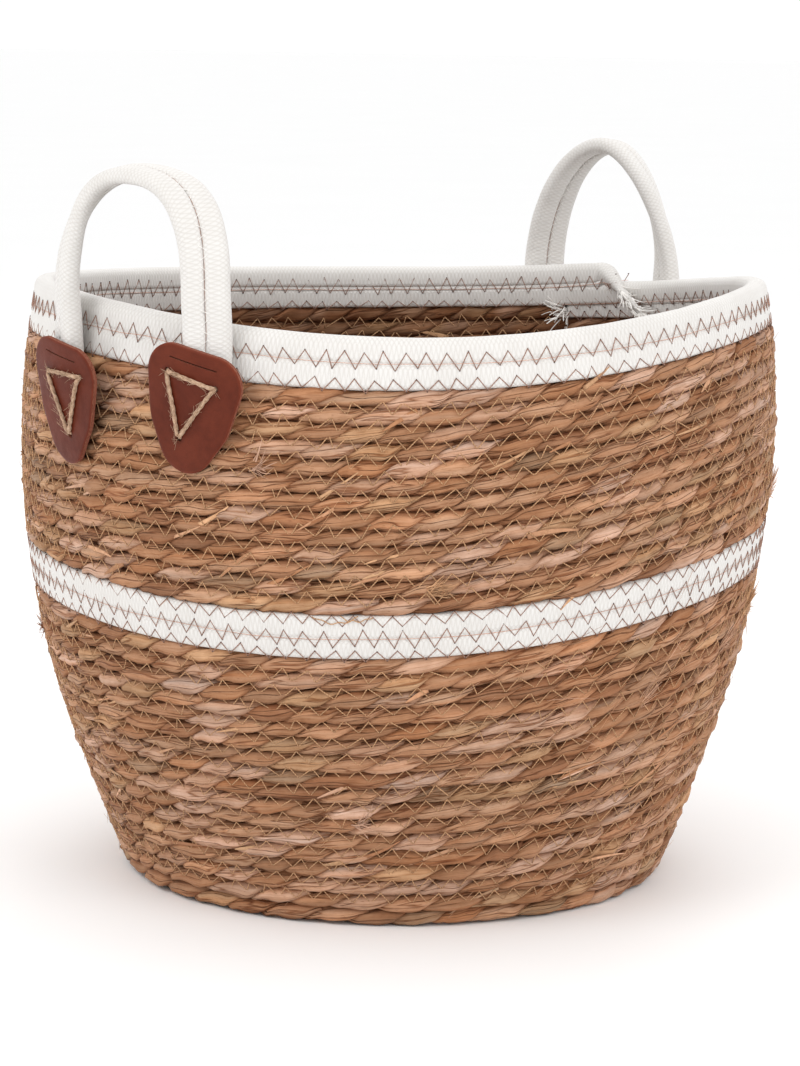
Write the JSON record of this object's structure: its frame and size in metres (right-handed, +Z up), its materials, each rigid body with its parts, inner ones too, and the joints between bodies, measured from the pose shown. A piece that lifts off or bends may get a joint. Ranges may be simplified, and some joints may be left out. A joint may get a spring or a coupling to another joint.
{
  "type": "storage basket",
  "caption": "Round coiled seagrass storage basket with a white cotton band and rim, cotton-rope loop handles and leather patches laced over the handle ends.",
  "frame": {"origin": "middle of the underside, on the surface the basket stands on", "axes": "+Z up; +X towards the handle by the rope's end, -X towards the other handle; the front is -Y"},
  "size_m": [0.3241, 0.3, 0.2864],
  "materials": {
    "seagrass": "matte",
    "white_cotton": "matte",
    "leather": "satin",
    "jute_twine": "matte",
    "brown_thread": "matte",
    "beige_thread": "matte"
  },
  "bodies": {
    "basket": {"base_coil": "seagrass", "lower_wall_coil": "seagrass", "upper_wall_coil": "seagrass", "base_stitching": "beige_thread", "lower_wall_stitching": "beige_thread", "upper_wall_stitching": "beige_thread", "band_rope": "white_cotton", "rim_rope": "white_cotton", "rim_rope_ends": "white_cotton", "left_front_leg": "white_cotton", "left_rear_leg": "white_cotton", "right_front_leg": "white_cotton", "right_rear_leg": "white_cotton", "band_stitching": "brown_thread", "rim_stitching": "brown_thread", "left_leg_seams": "brown_thread", "right_leg_seams": "brown_thread", "left_front_patch": "leather", "left_rear_patch": "leather", "right_front_patch": "leather", "right_rear_patch": "leather", "left_front_lacing": "jute_twine", "left_rear_lacing": "jute_twine", "right_front_lacing": "jute_twine", "right_rear_lacing": "jute_twine"},
    "left_handle": {"left_outer_rope": "white_cotton", "left_inner_rope": "white_cotton", "left_loop_seam": "brown_thread"},
    "right_handle": {"right_outer_rope": "white_cotton", "right_inner_rope": "white_cotton", "right_loop_seam": "brown_thread"}
  },
  "joints": [
    {"name": "left_handle_tilt", "type": "hinge", "parent": "basket", "child": "left_handle", "pos_m": [-0.14777, 0, 0.233], "axis": [0, -1, 0], "range_deg": [-60, 75], "stiffness_Nm_per_rad": 0.05},
    {"name": "right_handle_tilt", "type": "hinge", "parent": "basket", "child": "right_handle", "pos_m": [0.14756, 0.00773, 0.233], "axis": [-0.0523, 0.9986, 0], "range_deg": [-60, 75], "stiffness_Nm_per_rad": 0.05}
  ]
}
